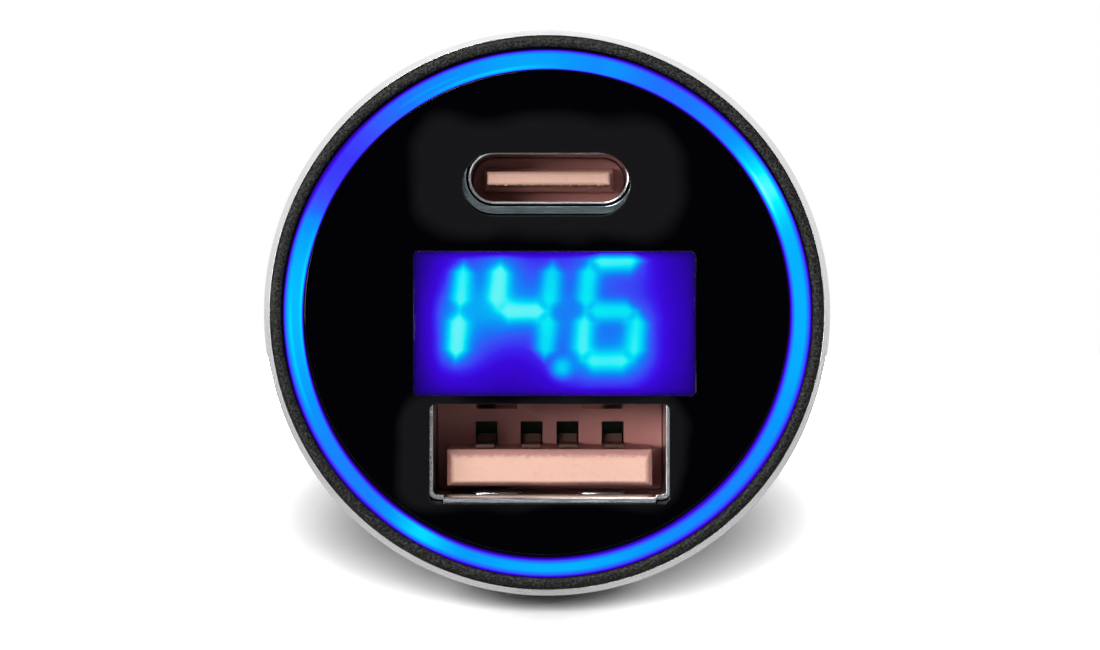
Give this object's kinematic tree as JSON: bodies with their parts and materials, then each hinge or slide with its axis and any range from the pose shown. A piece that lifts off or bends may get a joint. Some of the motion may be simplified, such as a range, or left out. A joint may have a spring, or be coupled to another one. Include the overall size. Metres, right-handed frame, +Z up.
{
  "type": "car usb charger plug",
  "caption": "Round metal-headed car charger plug with a USB-C port, a lit voltage display, a USB-A port and a blue light ring, on a barrel for a 12 V vehicle socket.",
  "frame": {"origin": "centre of the barrel at the shoulder, where the head meets the socket's rim", "axes": "+Y along the barrel towards the nose, so the face looks along -Y; +Z up as the display reads; +X to the right as seen from the face"},
  "size_m": [0.0304, 0.0711, 0.0302],
  "materials": {
    "aluminium": "fine turned, satin",
    "bezel_black": "fine spark-eroded grain",
    "ring_light": "lit translucent diffuser",
    "face_black": "polished",
    "window_clear": "polished clear acrylic",
    "display_ground": "lit blue-violet resin",
    "segment_light": "lit cyan resin",
    "port_plastic": "moulded salmon nylon",
    "port_steel": "bright rolled sheet",
    "contact_gold": "gold flash",
    "inner_black": "moulded",
    "board_green": "solder mask",
    "led_white": "ceramic and resin",
    "ferrite": "pressed ferrite",
    "can_aluminium": "drawn can",
    "chip_black": "moulded epoxy",
    "chip_ceramic": "fired ceramic",
    "barrel_black": "satin moulded",
    "contact_nickel": "nickel plated",
    "spring_steel": "drawn wire",
    "seat_brass": "stamped brass"
  },
  "bodies": {
    "body": {"housing": "aluminium", "bezel": "bezel_black", "light_ring": "ring_light", "face_plate": "face_black", "display_window": "window_clear", "lit_segments": "segment_light", "unlit_segments": "display_ground", "display_module": "display_ground", "display_board": "board_green", "display_pins": "contact_gold", "face_carrier": "inner_black", "usb_a_shell": "port_steel", "usb_a_insulator": "port_plastic", "usb_a_contacts": "contact_gold", "usb_c_shield": "port_steel", "usb_c_shell": "port_steel", "usb_c_insulator": "port_plastic", "usb_c_contacts": "contact_gold", "port_board": "board_green", "ring_leds": "led_white", "main_board": "board_green", "inductor": "ferrite", "input_capacitor": "can_aluminium", "output_capacitors": "can_aluminium", "converter_chips": "chip_black", "charge_controller": "chip_black", "fuse": "led_white", "surge_diode": "chip_black", "chip_capacitors": "chip_ceramic", "barrel": "barrel_black", "contact_pins": "spring_steel", "nose_cap": "barrel_black", "tip_spring": "spring_steel", "spring_seat": "seat_brass"},
    "tip": {"tip_contact": "contact_nickel"},
    "left_contact": {"ground_contact_left": "contact_nickel"},
    "right_contact": {"ground_contact_right": "contact_nickel"}
  },
  "joints": [
    {"name": "tip_plunge", "type": "slide", "parent": "body", "child": "tip", "axis": [0, -1, 0], "range_m": [0, 0.003], "stiffness_N_per_m": 600, "springref_m": -0.003, "deforming": ["tip_spring"]},
    {"name": "left_contact_press", "type": "hinge", "parent": "body", "child": "left_contact", "pos_m": [-0.0094, 0.0129, 0], "axis": [0, 0, -1], "range_deg": [0, 9], "stiffness_Nm_per_rad": 0.3, "springref_deg": -2.86},
    {"name": "right_contact_press", "type": "hinge", "parent": "body", "child": "right_contact", "pos_m": [0.0094, 0.0129, 0], "axis": [0, 0, 1], "range_deg": [0, 9], "stiffness_Nm_per_rad": 0.3, "springref_deg": -2.86}
  ]
}
